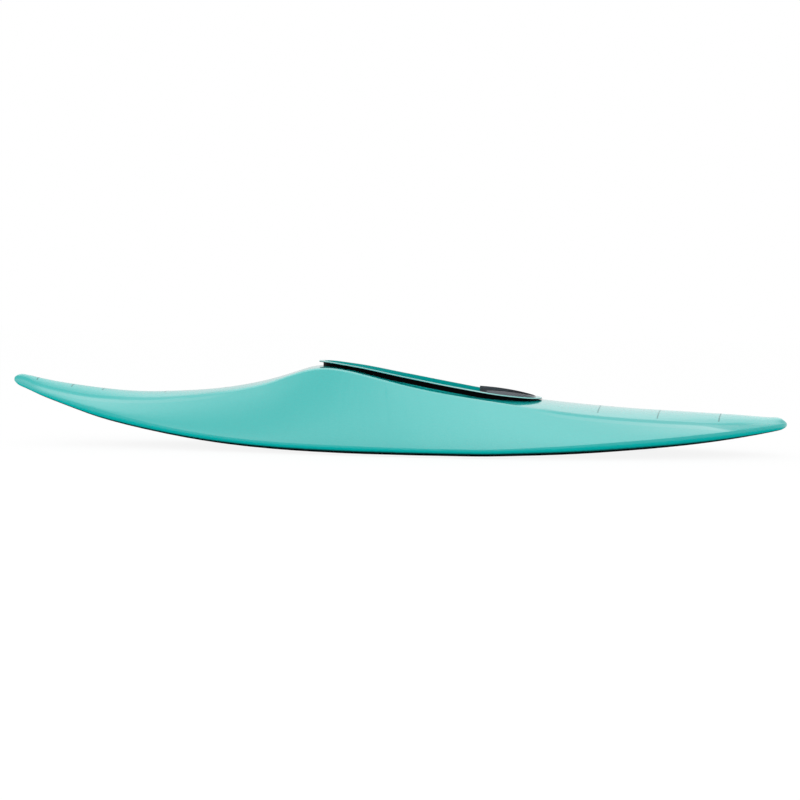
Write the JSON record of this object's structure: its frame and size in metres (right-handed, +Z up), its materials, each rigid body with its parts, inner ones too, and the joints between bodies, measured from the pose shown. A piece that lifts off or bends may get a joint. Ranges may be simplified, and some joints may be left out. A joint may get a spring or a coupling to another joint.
{
  "type": "kayak",
  "caption": "Decked composite whitewater kayak with a low bow, raised cockpit rim, moulded seat bucket, sliding footrest and tilting back band.",
  "frame": {"origin": "under the middle of the boat, on the plane that the hull rests on", "axes": "+X from bow to stern, +Y to starboard, +Z up"},
  "size_m": [3, 0.5804, 0.3393],
  "materials": {
    "gelcoat": "gloss",
    "laminate": "satin",
    "carbon": "gloss",
    "foam": "matte",
    "bag_film": "satin",
    "webbing": "matte",
    "steel": "satin",
    "anodised_aluminium": "satin",
    "knob_plastic": "matte"
  },
  "bodies": {
    "boat": {"hull_shell": "gelcoat", "deck_shell": "gelcoat", "seam_tape_left": "laminate", "seam_tape_right": "laminate", "cockpit_rim": "gelcoat", "rim_neck_band": "carbon", "seat_shell": "carbon", "seat_base_block": "foam", "seat_pad": "foam", "hip_pad_left": "foam", "hip_pad_right": "foam", "knee_pad_left": "foam", "knee_pad_right": "foam", "bow_pillar": "foam", "stern_pillar": "foam", "bow_airbag_left": "bag_film", "bow_airbag_right": "bag_film", "stern_airbag_left": "bag_film", "stern_airbag_right": "bag_film", "back_band_bolts": "steel", "rail_lugs": "laminate", "rail_bolts": "steel", "footrest_rail_left": "anodised_aluminium", "footrest_rail_right": "anodised_aluminium"},
    "footrest": {"footrest_slider_left": "anodised_aluminium", "footrest_slider_right": "anodised_aluminium", "footrest_plate": "anodised_aluminium", "footrest_pads": "foam"},
    "left_knob": {"footrest_knob_left": "knob_plastic"},
    "right_knob": {"footrest_knob_right": "knob_plastic"},
    "back_rest": {"back_band": "webbing"}
  },
  "joints": [
    {"name": "footrest_slide", "type": "slide", "parent": "boat", "child": "footrest", "axis": [1, 0, 0], "range_m": [-0.075, 0.075]},
    {"name": "left_knob_turn", "type": "hinge", "parent": "footrest", "child": "left_knob", "pos_m": [-0.525, -0.1374, 0.092], "axis": [0, 1, 0], "range_deg": [0, 540]},
    {"name": "right_knob_turn", "type": "hinge", "parent": "footrest", "child": "right_knob", "pos_m": [-0.525, 0.1374, 0.092], "axis": [0, 1, 0], "range_deg": [-540, 0]},
    {"name": "back_band_tilt", "type": "hinge", "parent": "boat", "child": "back_rest", "pos_m": [0.396, 0, 0.1807], "axis": [0, 1, 0], "range_deg": [-15, 15]}
  ]
}
